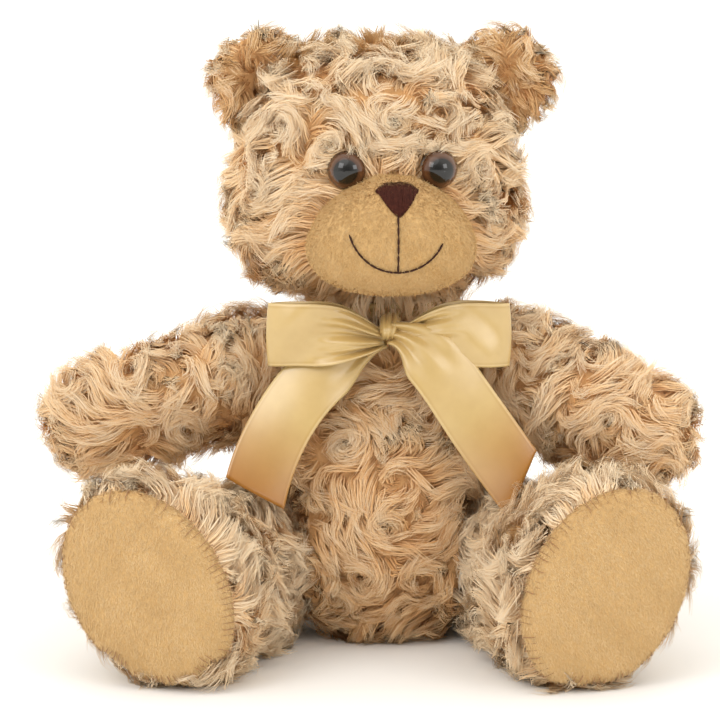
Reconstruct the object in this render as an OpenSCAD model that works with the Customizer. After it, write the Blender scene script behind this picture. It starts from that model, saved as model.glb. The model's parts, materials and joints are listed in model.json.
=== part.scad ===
// Jointed teddy bear, sitting, with a satin ribbon tied in a bow at its neck.
// Millimetres. +Z is up, the bear faces -Y, and its left side is +X.
// The origin is the middle of the seat, on the surface that the bear sits on.

/* [Torso] */
// Half of the torso's width at the belly
torso_half_w = 56; // [52:1:58]
// Half of the torso's depth at the belly
torso_half_d = 46; // [42:1:50]
// Height of the plane where the head meets the torso
neck_z = 140; // [139:0.5:141]

/* [Head] */
// Half of the head's width at the cheeks
head_half_w = 56; // [52:1:58]
// Half of the head's depth
head_half_d = 47; // [44:1:49]
// Height of the middle of the head
head_mid_z = 189.5; // [188:0.5:191]
// Angle that the head is turned to its own left, in degrees
head_turn = 5; // [0:1:10]

/* [Limbs] */
// Length of an arm from its joint to the middle of its paw
arm_l = 61; // [56:1:63]
// Half of an arm's thickness
arm_half_w = 27; // [24:0.5:27.5]
// Angle that the left arm is swung forward, in degrees
left_arm_swing = 27; // [0:1:35]
// Angle that the right arm is swung forward, in degrees
right_arm_swing = 8; // [0:1:35]
// Length of a leg from its joint to its sole
leg_l = 103; // [98:1:106]
// Half of a foot's width
foot_half_w = 33; // [31:0.5:37]
// Half of a foot's height
foot_half_h = 43; // [38:0.5:43.5]

/* [Ribbon] */
// Width of the ribbon
ribbon_w = 25; // [20:1:28]
// Distance from the knot to the end of a loop
loop_l = 48; // [38:1:50]

/* [Joint hardware] */
// Radius of the discs in the shoulder joints
shoulder_disc_r = 14; // [11:0.5:15]
// Radius of the discs in the hip joints
hip_disc_r = 16.5; // [14:0.5:18]
// Radius of the discs in the neck joint
neck_disc_r = 22.5; // [20:0.5:24]
// Radius of a joint's stem
stem_r = 3.5; // [3:0.25:4]

/* [Hidden] */

LEFT = 1;
RIGHT = -1;
far = 300;               // longer than any part of the bear
plush_t = 5;             // backing and pressed pile together
felt_t = 2.5;            // short pile of the muzzle
pressed_t = 2;           // plush pressed flat in a joint
joint_gap = 0.4;         // between a limb and the torso

// Torso: an upright egg with a flat seat
torso_mid_z = 74;
torso_half_h = 80;
torso_taper = 0.3;
torso_round = 0.8;

// Head: a wide, square-shouldered egg
head_half_h = 49.5;
head_shift = -3;          // the head sits a little to its right on the neck
head_taper = 0.15;
head_round = 0.65;
gusset_half_w = 17;

// Muzzle
muzzle_mid = [-0.8, -48, 168];
muzzle_size = [32.5, 31.5, 23.3];
muzzle_round = 0.8;
muzzle_pear = 0.24;      // how much narrower its top is

// Eyes, in the head's frame
eye_x = 18.3;
eye_y = -46.5;
eye_z = 193;
eye_r = 7.5;
eye_h = 5.3;
eye_yaw = 14;
pupil_r = 4.3;
eye_stem_r = 2;
eye_stem_l = 13;
eye_washer_r = 6;

// Ears: a dished disc on each upper corner of the head
ear_x = 50;
ear_y = 3;
ear_z = 223.5;
ear_r = 20;
ear_bowl_r = 27;
ear_layer_t = 4.5;
ear_lean = 40;
ear_turn = 18;

// Shoulder joint: the point on its axis where the arm meets the torso, and its axis
shoulder = [38, -5, 94];
shoulder_tilt = 45;
shoulder_axis = [cos(shoulder_tilt), 0, sin(shoulder_tilt)];
shoulder_up = [-sin(shoulder_tilt), 0, cos(shoulder_tilt)];
arm_half_d = 24;
arm_pressed = 7;         // how far the round arm is flattened at its joint
left_arm_flare = 22;
right_arm_flare = 33;
arm_droop = 1.6;         // how sharply an arm bends down past its wrist
arm_end_l = 20;
arm_pocket_r = 26;

// Hip joint
hip = [29, -22, 31];
hip_turn = 18;
hip_axis = [cos(hip_turn), sin(hip_turn), 0];
leg_forward = [sin(hip_turn), -cos(hip_turn), 0];
thigh_half_w = 27;
thigh_half_h = 31.5;
thigh_mid_x = 21;
left_foot_roll = 30;
right_foot_roll = 34;
left_foot_mid_x = 28;
right_foot_mid_x = 33;
sole_round_l = 10;
pad_t = 6;
hip_pocket_r = 33;
leg_sink = 1.5;          // how far the round leg is flattened by the surface

// Joint hardware
disc_t = 2;
disc_rim_t = 1.2;
stem_l = 15;
lock_t = 2;
lock_r = 7;
running_gap = 0.05;
turning_space = 0.5;

// Ribbon
ribbon_t = 1.2;
bow_x = 2.5;             // the bow sits a little to the bear's left
knot_mid = [0, -44, 130];
knot_half = [4.5, 5, 5];
band_z = 126;
band_h = 11;
band_r = 28.5;
tail_top = [5, -49.6, 126];
tail_mid = [25, -56, 108];
tail_end = [51, -56.5, 71];
tail_slope = 31;
tail_cut = 50;
loop_y = -47;
loop_half_t = 5;

// ---------- shapes ----------

function smooth(t) = let (c = min(1, max(0, t))) c * c * (3 - 2 * c);
function signed_pow(v, p) = sign(v) * pow(abs(v), p);
function unit(v) = v / norm(v);

// The matrix of a frame at o, with its X and Z axes along x and z
function frame(o, x, z) =
    let (y = cross(z, x))
    [[x[0], y[0], z[0], o[0]], [x[1], y[1], z[1], o[1]], [x[2], y[2], z[2], o[2]], [0, 0, 0, 1]];

// A closed skin over rings of points that run anticlockwise seen from the last pole
module loft(rings, first_pole, last_pole) {
    n = len(rings[0]);
    m = len(rings);
    top = n * m + 1;
    function at(k, i) = 1 + k * n + i % n;
    points = [first_pole, for (r = rings) each r, last_pole];
    sides = [
        for (k = [0:m - 2], i = [0:n - 1])
        each [[at(k, i), at(k + 1, i), at(k + 1, i + 1)], [at(k, i), at(k + 1, i + 1), at(k, i + 1)]]
    ];
    ends = [for (i = [0:n - 1]) each [[0, at(0, i), at(0, i + 1)], [top, at(m - 1, i + 1), at(m - 1, i)]]];
    polyhedron(points, concat(sides, ends));
}

// An upright egg: half sizes, how much narrower its top is, its squareness from the side and
// from above, and how much narrower it is at the back
module egg(size, taper, round, sides, steps, flat = 1, pear = 0) {
    function spot(r, v) = let (y = r * signed_pow(sin(v), flat))
        [size[0] * r * signed_pow(cos(v), flat) * (1 - pear * y), size[1] * y];
    function ring(u) =
        let (level = signed_pow(-cos(u), round), r = pow(sin(u), round) * (1 - taper * level))
        [for (i = [0:sides - 1]) [each spot(r, 360 * i / sides), size[2] * level]];
    loft([for (k = [1:steps - 1]) ring(180 * k / steps)], [0, 0, -size[2]], [0, 0, size[2]]);
}

module mirrored(side) {
    if (side > 0) children();
    else mirror([1, 0, 0]) children();
}

module beside(x_low, x_high) {
    intersection() {
        children();
        translate([x_low, -far / 2, -far / 2]) cube([x_high - x_low, far, far * 2]);
    }
}

// ---------- joints ----------

module at_neck() { translate([0, 0, neck_z]) children(); }
module at_shoulder() { multmatrix(frame(shoulder, [0, 1, 0], shoulder_axis)) children(); }
module at_hip() { multmatrix(frame(hip, cross([0, 0, 1], hip_axis), hip_axis)) children(); }

// The disc inside a limb, with the stem that reaches into the torso; Z = 0 is the limb's flat face
module stem_disc(disc_r) {
    color("white") union() {
        translate([0, 0, pressed_t]) cylinder(h = disc_t, r = disc_r, $fn = 64);
        translate([0, 0, pressed_t + disc_t]) difference() {
            cylinder(h = disc_rim_t, r = disc_r, $fn = 64);
            translate([0, 0, -1]) cylinder(h = disc_rim_t + 2, r = disc_r - 2, $fn = 64);
        }
        translate([0, 0, pressed_t + disc_t - stem_l]) cylinder(h = stem_l, r = stem_r, $fn = 48);
    }
}

// The disc inside the torso, which turns on the stem
module body_disc(disc_r) {
    color("whitesmoke") translate([0, 0, -joint_gap - pressed_t - disc_t]) difference() {
        union() {
            cylinder(h = disc_t, r = disc_r, $fn = 64);
            translate([0, 0, -disc_rim_t]) difference() {
                cylinder(h = disc_rim_t, r = disc_r, $fn = 64);
                translate([0, 0, -1]) cylinder(h = disc_rim_t + 2, r = disc_r - 2, $fn = 64);
            }
        }
        translate([0, 0, -disc_t]) cylinder(h = 3 * disc_t, r = stem_r + running_gap, $fn = 48);
    }
}

// The toothless ring that grips the stem behind the torso's disc
module lock_ring() {
    color("gainsboro") translate([0, 0, -joint_gap - pressed_t - disc_t - running_gap - lock_t]) difference() {
        cylinder(h = lock_t, r = lock_r, $fn = 48);
        translate([0, 0, -1]) cylinder(h = lock_t + 2, r = stem_r, $fn = 48);
    }
}

// What the limb's disc and stem take from its plush and stuffing
module limb_joint_space(disc_r) {
    translate([0, 0, pressed_t]) cylinder(h = disc_t + disc_rim_t, r = disc_r, $fn = 64);
    translate([0, 0, -1]) cylinder(h = pressed_t + 2, r = stem_r, $fn = 48);
}

// What the torso's disc, the stem and its ring take from the torso's plush and stuffing
module body_joint_space(disc_r) {
    back = joint_gap + pressed_t + disc_t;
    translate([0, 0, -back - disc_rim_t]) cylinder(h = disc_t + disc_rim_t, r = disc_r, $fn = 64);
    translate([0, 0, -stem_l]) cylinder(h = stem_l + 1, r = stem_r + turning_space, $fn = 48);
    translate([0, 0, -back - lock_t - 2 * turning_space])
        cylinder(h = lock_t + 2 * turning_space, r = lock_r + turning_space, $fn = 48);
}

// ---------- torso ----------

// Room for an arm over its whole swing, in the shoulder's frame, from a wall's depth inwards
module arm_room(wall) {
    translate([0, 0, -joint_gap - wall]) linear_extrude(far) union() {
        circle(r = arm_pocket_r + wall, $fn = 64);
        translate([-far / 2, -far]) square([far, far]);
        square([far, arm_pocket_r + wall]);
    }
}

// Room for a leg from sitting to standing, in the hip's frame
module leg_room(wall) {
    translate([0, 0, -joint_gap - wall]) linear_extrude(far) union() {
        circle(r = hip_pocket_r + wall, $fn = 64);
        translate([-far, -far]) square([far, far + hip_pocket_r + wall]);
        translate([-1, -far]) square([hip_pocket_r + 5 + wall, far]);
    }
}

module torso_solid(inset) {
    wall = inset > 0 ? pressed_t : 0;
    difference() {
        translate([0, 0, torso_mid_z])
            egg([torso_half_w - inset, torso_half_d - inset, torso_half_h - inset / 2], torso_taper, torso_round, 24, 12);
        translate([-far / 2, -far / 2, neck_z - joint_gap - wall]) cube(far);
        translate([-far / 2, -far / 2, wall - far]) cube(far);
        translate([0, 0, band_z]) difference() {
            cylinder(h = far, r = far, $fn = 64);
            translate([0, 0, -1]) cylinder(h = far + 2, r = band_r - ribbon_t - inset, $fn = 64);
        }
        for (side = [LEFT, RIGHT]) mirrored(side) {
            at_shoulder() arm_room(wall);
            at_hip() leg_room(wall);
        }
    }
}

module torso_joint_spaces() {
    at_neck() body_joint_space(neck_disc_r);
    for (side = [LEFT, RIGHT]) mirrored(side) {
        at_shoulder() body_joint_space(shoulder_disc_r);
        at_hip() body_joint_space(hip_disc_r);
    }
}

module torso_panel(side) {
    color("burlywood") mirrored(side) beside(0, far) difference() {
        torso_solid(0);
        torso_solid(plush_t);
        torso_joint_spaces();
    }
}

module torso_stuffing() {
    color("white") difference() {
        torso_solid(plush_t);
        torso_joint_spaces();
    }
}

// ---------- ribbon ----------

module ribbon_band() {
    color("goldenrod") translate([0, 0, band_z]) difference() {
        cylinder(h = band_h, r = band_r, $fn = 64);
        translate([0, 0, -1]) cylinder(h = band_h + 2, r = band_r - ribbon_t, $fn = 64);
    }
}

module rounded_block(half) {
    hull() for (x = [-1, 1], z = [-1, 1])
        translate([x * (half[0] - 2), 0, z * (half[2] - 2)]) rotate([90, 0, 0])
            cylinder(h = 2 * half[1], r = 2, center = true, $fn = 16);
}

// The knot, with the stub that ties it to the band
module bow_knot() {
    stub_l = -knot_mid[1] - band_r + 1;
    color("goldenrod") difference() {
        union() {
            translate([bow_x, 0, 0] + knot_mid) rounded_block(knot_half);
            translate([bow_x - 3, knot_mid[1], band_z + 1]) cube([6, stub_l, band_h - 3]);
        }
        translate([0, 0, band_z - 1]) cylinder(h = band_h + 2, r = band_r, $fn = 64);
    }
}

// A loop lies flat in front of the chest and is gathered where it enters the knot
module bow_loop(side) {
    gathered = 4;
    color("goldenrod") translate([bow_x, 0, 0]) mirrored(side) hull() {
        translate([knot_half[0], knot_mid[1] - 2, knot_mid[2] - gathered / 2]) cube([0.5, 4, gathered]);
        translate([loop_l - 24, loop_y - loop_half_t, knot_mid[2] - ribbon_w / 2 - 1])
            cube([1, 2 * loop_half_t, ribbon_w]);
        translate([loop_l - 1, loop_y - loop_half_t + 1, knot_mid[2] - ribbon_w / 2 - 1])
            cube([1, 2 * loop_half_t - 2, ribbon_w]);
    }
}

// One line across a tail, rising outwards at a slope
module tail_line(at, half_w, slope) {
    translate(at) rotate([0, -slope, 0]) cube([2 * half_w, ribbon_t, 0.6], center = true);
}

module bow_tail(side) {
    color("goldenrod") translate([bow_x, 0, 0]) mirrored(side) union() {
        hull() {
            tail_line(tail_top, 5, tail_slope);
            tail_line(tail_mid, ribbon_w / 2, tail_slope);
        }
        hull() {
            tail_line(tail_mid, ribbon_w / 2, tail_slope);
            tail_line(tail_end, ribbon_w / 2, tail_cut);
        }
    }
}

// ---------- head ----------

module in_head() { rotate([0, 0, head_turn]) children(); }

module head_solid(inset) {
    wall = inset > 0 ? pressed_t : 0;
    difference() {
        translate([head_shift, 0, head_mid_z])
            egg([head_half_w - inset, head_half_d - inset, head_half_h - inset], head_taper, head_round, 26, 12, 0.92);
        translate([-far / 2, -far / 2, neck_z + wall - far]) cube(far);
    }
}

module muzzle_solid(inset) {
    translate(muzzle_mid) rotate([90, 0, 0])
        egg([for (i = [0, 2, 1]) muzzle_size[i] - inset], 0, muzzle_round, 24, 12, 0.95, muzzle_pear);
}

// Children are placed with +Z out of the face and Z = 0 where the eye rests
module at_eye(side) {
    mirrored(side) translate([eye_x, eye_y, eye_z]) rotate([0, 0, eye_yaw]) rotate([90, 0, 0]) children();
}

module eye_space() {
    cylinder(h = far / 10, r = eye_r, $fn = 48);
    translate([0, 0, -eye_stem_l]) cylinder(h = eye_stem_l + 1, r = eye_stem_r, $fn = 32);
    translate([0, 0, -plush_t - 1.5]) cylinder(h = 1.5, r = eye_washer_r, $fn = 40);
}

module eye_spaces() {
    for (side = [LEFT, RIGHT]) at_eye(side) eye_space();
}

module head_plush(x_low, x_high) {
    color("burlywood") in_head() beside(x_low, x_high) difference() {
        head_solid(0);
        head_solid(plush_t);
        muzzle_solid(0);
        eye_spaces();
        at_neck() limb_joint_space(neck_disc_r);
    }
}

module head_stuffing() {
    color("white") in_head() difference() {
        union() {
            head_solid(plush_t);
            muzzle_solid(felt_t);
        }
        eye_spaces();
        at_neck() limb_joint_space(neck_disc_r);
    }
}

module muzzle() {
    color("sandybrown") in_head() difference() {
        muzzle_solid(0);
        muzzle_solid(felt_t);
        head_solid(plush_t);
        eye_spaces();
    }
}

// A thin layer on the muzzle, inside an outline drawn on the plane of the face
module on_muzzle(thickness) {
    in_head() intersection() {
        difference() {
            muzzle_solid(-thickness);
            muzzle_solid(0);
        }
        translate([0, muzzle_mid[1] - muzzle_size[1] / 2, 0]) rotate([90, 0, 0]) linear_extrude(far / 6) children();
    }
}

module nose() {
    color("saddlebrown") on_muzzle(1.2) offset(r = 2, $fn = 24)
        polygon([[-7.2, 190], [6, 190], [6, 187], [-0.6, 180], [-7.2, 187]]);
}

module mouth_stitches() {
    smile_r = 19;
    smile_z = 176;
    color("black") on_muzzle(0.8) union() {
        translate([-0.45, smile_z - smile_r]) square([0.9, smile_r + 1.4]);
        translate([0, smile_z]) intersection() {
            difference() {
                circle(r = smile_r + 0.45, $fn = 64);
                circle(r = smile_r - 0.45, $fn = 64);
            }
            translate([-far / 2, -far - 4]) square([far, far]);
        }
    }
}

// Z is out of the eye's back, X is to the side
module eye_lens(side) {
    ball_r = (eye_r * eye_r + eye_h * eye_h) / (2 * eye_h);
    color("sienna") in_head() at_eye(side) difference() {
        intersection() {
            translate([0, 0, eye_h - ball_r]) sphere(r = ball_r, $fn = 64);
            cylinder(h = eye_h + 1, r = eye_r, $fn = 64);
        }
        translate([0, 0, -1]) cylinder(h = eye_h - 0.6, r = pupil_r, $fn = 48);
    }
}

module eye_pupil_stem(side) {
    color("black") in_head() at_eye(side) union() {
        cylinder(h = eye_h - 1.6, r = pupil_r, $fn = 48);
        translate([0, 0, -eye_stem_l]) cylinder(h = eye_stem_l, r = eye_stem_r, $fn = 32);
    }
}

module eye_washer(side) {
    color("ivory") in_head() at_eye(side) translate([0, 0, -plush_t - 1.5]) difference() {
        cylinder(h = 1.5, r = eye_washer_r, $fn = 40);
        translate([0, 0, -1]) cylinder(h = 4, r = eye_stem_r, $fn = 32);
    }
}

// A layer of the ear's dish between two depths, clear of the head's plush
module ear_layer(side, outer, inner) {
    in_head() difference() {
        mirrored(side) translate([ear_x, ear_y, ear_z]) rotate([0, ear_lean, -ear_turn]) rotate([90, 0, 0])
            intersection() {
                translate([0, 0, ear_bowl_r * 0.8]) difference() {
                    sphere(r = ear_bowl_r - outer, $fn = 64);
                    sphere(r = ear_bowl_r - inner, $fn = 64);
                }
                translate([0, 0, -ear_bowl_r]) cylinder(h = ear_bowl_r * 1.25, r = ear_r, $fn = 64);
            }
        head_solid(0);
    }
}

module ear_back(side) { color("burlywood") ear_layer(side, 0, ear_layer_t); }
module ear_lining(side) { color("tan") ear_layer(side, ear_layer_t, 2 * ear_layer_t); }

// ---------- arms ----------

function swing_of(side) = side > 0 ? left_arm_swing : right_arm_swing;

// X is away from the torso, Z runs down the arm
module along_arm(side) {
    swing = swing_of(side);
    down = -shoulder_up * cos(swing) + [0, -1, 0] * sin(swing);
    multmatrix(frame(shoulder, shoulder_axis, down)) children();
}

// How far the middle of an arm is from the joint's plane, at s down the arm
function arm_bend(s, side) = let (u = max(0, s) / arm_l, flare = side > 0 ? left_arm_flare : right_arm_flare)
    arm_half_w - arm_pressed + flare * (1.35 * u * u / (u + 0.35) - arm_droop * pow(max(0, u - 0.7), 2));

module arm_solid(side, inset) {
    first = -arm_half_d;
    last = arm_l + arm_end_l;
    steps = 11;
    function grown(s) =
        let (middle = (first + last) / 2, half = (last - first) / 2)
        pow(1 - pow(abs(s - middle) / half, 3.6), 1 / 2.1);
    function ring(s) = [for (i = [0:17]) let (v = 20 * i)
        [arm_bend(s, side) + (arm_half_w - inset) * grown(s) * cos(v),
            (arm_half_d - inset) * grown(s) * sin(v), (s - arm_l / 2) * (1 - inset / arm_l * 1.7) + arm_l / 2]];
    function spot(k) = (first + last) / 2 - (last - first) / 2 * cos(180 * k / steps);
    along_arm(side) difference() {
        loft([for (k = [1:steps - 1]) ring(spot(k))],
            [arm_bend(first, side), 0, first + inset], [arm_bend(last, side), 0, last - inset]);
        translate([(inset > 0 ? pressed_t : 0) - far, -far / 2, -far / 2]) cube(far);
    }
}

module arm_plush(side, outer) {
    color("burlywood") mirrored(side) intersection() {
        difference() {
            arm_solid(side, 0);
            arm_solid(side, plush_t);
            at_shoulder() limb_joint_space(shoulder_disc_r);
        }
        along_arm(side) translate([arm_half_w - arm_pressed, 0, 0]) rotate([0, atan(left_arm_flare / arm_l) * 0.7, 0])
            translate([outer ? 0 : -far, -far / 2, -far / 2]) cube(far);
    }
}

module arm_stuffing(side) {
    color("white") mirrored(side) difference() {
        arm_solid(side, plush_t);
        at_shoulder() limb_joint_space(shoulder_disc_r);
    }
}

// ---------- legs ----------

// X is away from the torso, Y is up and Z runs forward to the sole
module along_leg() { multmatrix(frame(hip, hip_axis, leg_forward)) children(); }

module leg_solid(inset, side) {
    first = -thigh_half_h;
    last = leg_l;
    steps = 13;
    function foot_share(s) = smooth((s - 30) / 38);
    function grown(s) = s < 0 ? sqrt(max(0, 1 - pow(s / first, 2)))
        : s > last - sole_round_l ? pow(max(0, 1 - pow((s - last + sole_round_l) / sole_round_l, 2.6)), 1 / 2.6) : 1;
    foot_mid_x = side > 0 ? left_foot_mid_x : right_foot_mid_x;
    foot_roll = side > 0 ? left_foot_roll : right_foot_roll;
    function mixed(a, b, s) = a + (b - a) * foot_share(s);
    foot_reach_down = norm([foot_half_w * sin(foot_roll), foot_half_h * cos(foot_roll)]);
    function mid_z(s) = mixed(thigh_half_h, foot_reach_down, s) - leg_sink - hip[2];
    function shifted(s) = s < 0 ? s * (1 + inset / first) : s > last - sole_round_l ? s - inset : s;
    function ring(s) = let (roll = foot_roll * foot_share(s),
            a = (mixed(thigh_half_w, foot_half_w, s) - inset) * grown(s),
            b = (mixed(thigh_half_h, foot_half_h, s) - inset) * grown(s))
        [for (i = [0:19]) let (v = 18 * i, x = a * cos(v), y = b * sin(v))
            [mixed(thigh_mid_x, foot_mid_x, s) + x * cos(roll) + y * sin(roll),
                mid_z(s) - x * sin(roll) + y * cos(roll), shifted(s)]];
    stations = [-30.5, -27, -20, -9, 6, 26, 38, 48, 58, 72, last - 10, last - 5, last - 2, last - 0.4];
    difference() {
        along_leg() difference() {
            loft([for (s = stations) ring(s)], [thigh_mid_x, mid_z(0), first + inset],
                [foot_mid_x, mid_z(last), last - inset]);
            translate([(inset > 0 ? pressed_t : 0) - far, -far / 2, far - far - far / 2]) cube([far, far, far / 2 + 44]);
        }
        translate([-far / 2, -far / 2, (inset > 0 ? pressed_t : 0) - far]) cube(far);
    }
}

module leg_plush(side, outer) {
    color("burlywood") mirrored(side) intersection() {
        difference() {
            leg_solid(0, side);
            leg_solid(plush_t, side);
            at_hip() limb_joint_space(hip_disc_r);
        }
        along_leg() translate([outer ? thigh_mid_x : thigh_mid_x - far, -far / 2, -far / 2])
            cube([far, far, far / 2 + leg_l - pad_t]);
    }
}

module foot_pad(side) {
    color("sandybrown") mirrored(side) intersection() {
        difference() {
            leg_solid(0, side);
            leg_solid(plush_t, side);
        }
        along_leg() translate([-far / 2, -far / 2, leg_l - pad_t]) cube(far);
    }
}

module leg_stuffing(side) {
    color("white") mirrored(side) difference() {
        leg_solid(plush_t, side);
        at_hip() limb_joint_space(hip_disc_r);
    }
}

// ---------- the parts ----------

torso_panel(LEFT);  // torso_panel_left
torso_panel(RIGHT);  // torso_panel_right
torso_stuffing();
at_neck() body_disc(neck_disc_r);  // neck_body_disc
mirrored(LEFT) at_shoulder() body_disc(shoulder_disc_r);  // shoulder_body_disc_left
mirrored(RIGHT) at_shoulder() body_disc(shoulder_disc_r);  // shoulder_body_disc_right
mirrored(LEFT) at_hip() body_disc(hip_disc_r);  // hip_body_disc_left
mirrored(RIGHT) at_hip() body_disc(hip_disc_r);  // hip_body_disc_right
ribbon_band();
bow_knot();
bow_loop(LEFT);  // bow_loop_left
bow_loop(RIGHT);  // bow_loop_right
bow_tail(LEFT);  // bow_tail_left
bow_tail(RIGHT);  // bow_tail_right
head_plush(gusset_half_w, far);  // head_side_left
head_plush(-far, -gusset_half_w);  // head_side_right
head_plush(-gusset_half_w, gusset_half_w);  // head_gusset
head_stuffing();
muzzle();
nose();
mouth_stitches();
ear_back(LEFT);  // ear_back_left
ear_back(RIGHT);  // ear_back_right
ear_lining(LEFT);  // ear_lining_left
ear_lining(RIGHT);  // ear_lining_right
eye_lens(LEFT);  // eye_lens_left
eye_lens(RIGHT);  // eye_lens_right
eye_pupil_stem(LEFT);  // eye_pupil_stem_left
eye_pupil_stem(RIGHT);  // eye_pupil_stem_right
eye_washer(LEFT);  // eye_washer_left
eye_washer(RIGHT);  // eye_washer_right
in_head() at_neck() stem_disc(neck_disc_r);  // neck_stem_disc
in_head() at_neck() lock_ring();  // neck_lock_ring
arm_plush(LEFT, true);  // arm_outer_left
arm_plush(RIGHT, true);  // arm_outer_right
arm_plush(LEFT, false);  // arm_inner_left
arm_plush(RIGHT, false);  // arm_inner_right
arm_stuffing(LEFT);  // arm_stuffing_left
arm_stuffing(RIGHT);  // arm_stuffing_right
mirrored(LEFT) at_shoulder() stem_disc(shoulder_disc_r);  // shoulder_stem_disc_left
mirrored(RIGHT) at_shoulder() stem_disc(shoulder_disc_r);  // shoulder_stem_disc_right
mirrored(LEFT) at_shoulder() lock_ring();  // shoulder_lock_ring_left
mirrored(RIGHT) at_shoulder() lock_ring();  // shoulder_lock_ring_right
leg_plush(LEFT, true);  // leg_outer_left
leg_plush(RIGHT, true);  // leg_outer_right
leg_plush(LEFT, false);  // leg_inner_left
leg_plush(RIGHT, false);  // leg_inner_right
foot_pad(LEFT);  // foot_pad_left
foot_pad(RIGHT);  // foot_pad_right
leg_stuffing(LEFT);  // leg_stuffing_left
leg_stuffing(RIGHT);  // leg_stuffing_right
mirrored(LEFT) at_hip() stem_disc(hip_disc_r);  // hip_stem_disc_left
mirrored(RIGHT) at_hip() stem_disc(hip_disc_r);  // hip_stem_disc_right
mirrored(LEFT) at_hip() lock_ring();  // hip_lock_ring_left
mirrored(RIGHT) at_hip() lock_ring();  // hip_lock_ring_right
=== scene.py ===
"""The look of a jointed plush teddy bear with a satin bow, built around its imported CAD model.

Every soft body starts from its CAD solids: they are merged, smoothed and drawn in a little to make the
backing cloth, and curly pile is then grown on that as real strands. Metres, +Z up, the bear faces -Y.
"""

import json
import math

import bpy
import numpy as np
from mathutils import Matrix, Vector
from mathutils.bvhtree import BVHTree


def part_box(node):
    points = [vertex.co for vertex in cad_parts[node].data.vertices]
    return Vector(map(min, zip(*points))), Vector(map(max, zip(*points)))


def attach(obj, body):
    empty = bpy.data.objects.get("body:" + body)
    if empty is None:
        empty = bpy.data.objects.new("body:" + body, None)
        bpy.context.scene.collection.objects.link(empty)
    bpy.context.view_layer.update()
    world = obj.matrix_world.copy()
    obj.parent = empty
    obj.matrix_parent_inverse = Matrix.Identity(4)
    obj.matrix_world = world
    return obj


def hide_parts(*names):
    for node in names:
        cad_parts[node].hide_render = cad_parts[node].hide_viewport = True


MM = 0.001
rng = np.random.default_rng(20)
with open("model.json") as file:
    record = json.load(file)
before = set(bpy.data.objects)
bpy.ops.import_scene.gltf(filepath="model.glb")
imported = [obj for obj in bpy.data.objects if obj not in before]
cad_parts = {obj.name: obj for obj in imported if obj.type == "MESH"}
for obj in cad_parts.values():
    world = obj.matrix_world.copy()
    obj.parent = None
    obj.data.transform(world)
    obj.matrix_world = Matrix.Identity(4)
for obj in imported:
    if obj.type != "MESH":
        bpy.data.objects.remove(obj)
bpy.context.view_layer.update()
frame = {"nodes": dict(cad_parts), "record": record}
SIDES = ("left", "right")

# ---------------------------------------------------------------- arrays and meshes


def unit(v):
    return v / np.maximum(np.linalg.norm(v, axis=-1, keepdims=True), 1e-12)


def smooth(x):
    """From 0 to 1, with a soft start and a soft end."""
    x = np.clip(x, 0, 1)
    return x * x * (3 - 2 * x)


def mesh_arrays(mesh):
    """Vertices and triangles of a mesh."""
    mesh.calc_loop_triangles()
    verts = np.empty(len(mesh.vertices) * 3)
    mesh.vertices.foreach_get("co", verts)
    tris = np.empty(len(mesh.loop_triangles) * 3, dtype=np.int32)
    mesh.loop_triangles.foreach_get("vertices", tris)
    return verts.reshape(-1, 3), tris.reshape(-1, 3)


def joined(parts):
    """One (vertices, faces) from several, and which part each face came from."""
    verts, faces, owner, start = [], [], [], 0
    for k, (v, f) in enumerate(parts):
        verts.append(v)
        faces.append(f + start)
        owner.append(np.full(len(f), k))
        start += len(v)
    return np.concatenate(verts), np.concatenate(faces), np.concatenate(owner)


def cad(*names):
    return joined([mesh_arrays(frame["nodes"][name].data) for name in names])


def tree(verts, faces):
    return BVHTree.FromPolygons(verts.tolist(), faces.tolist())


def nearest(bvh, points):
    """For each point, the closest place on a surface, its face and its distance."""
    places, gaps = np.empty((len(points), 3)), np.empty(len(points))
    faces = np.empty(len(points), dtype=int)
    for i, p in enumerate(points):
        place, _, face, gap = bvh.find_nearest(p)
        places[i], faces[i], gaps[i] = place, face, gap
    return places, faces, gaps


def placed(name, data):
    """A new object in the scene."""
    made = bpy.data.objects.new(name, data)
    bpy.context.scene.collection.objects.link(made)
    return made


def new_piece(name, verts, faces, materials, body, index=None, uv=None, normals=None, parent=None):
    """A mesh piece riding on a body. faces is an array with one row per face."""
    mesh = bpy.data.meshes.new(name)
    verts, faces = np.asarray(verts, dtype=np.float32), np.asarray(faces, dtype=np.int32)
    n, corners = faces.shape
    mesh.vertices.add(len(verts))
    mesh.vertices.foreach_set("co", verts.ravel())
    mesh.loops.add(n * corners)
    mesh.loops.foreach_set("vertex_index", faces.ravel())
    mesh.polygons.add(n)
    mesh.polygons.foreach_set("loop_start", np.arange(0, n * corners, corners, dtype=np.int32))
    mesh.update(calc_edges=True)
    for material in materials:
        mesh.materials.append(material)
    if index is not None:
        mesh.polygons.foreach_set("material_index", np.asarray(index, dtype=np.int32))
    if uv is not None:
        layer = mesh.uv_layers.new(name="UVMap")
        layer.data.foreach_set("uv", np.asarray(uv, dtype=np.float32)[faces.ravel()].ravel())
    mesh.polygons.foreach_set("use_smooth", np.full(n, True))
    if normals is not None:
        layer = mesh.attributes.new("custom_normal", "FLOAT_VECTOR", "POINT")
        layer.data.foreach_set("vector", np.asarray(normals, dtype=np.float32).ravel())
    mesh.update()
    piece = placed(name, mesh)
    if parent is not None:
        piece.parent = parent
    elif body is not None:
        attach(piece, body)
    return piece


def quad_normals(verts, quads):
    """The normal of each quad, twice as long as its area."""
    a, b, c, d = (verts[quads[:, k]] for k in range(4))
    return np.cross(c - a, d - b)


def vertex_normals(verts, quads):
    normal = quad_normals(verts, quads)
    total = np.zeros_like(verts)
    for k in range(4):
        for axis in range(3):
            total[:, axis] += np.bincount(quads[:, k], normal[:, axis], len(verts))
    return unit(total)


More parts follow.
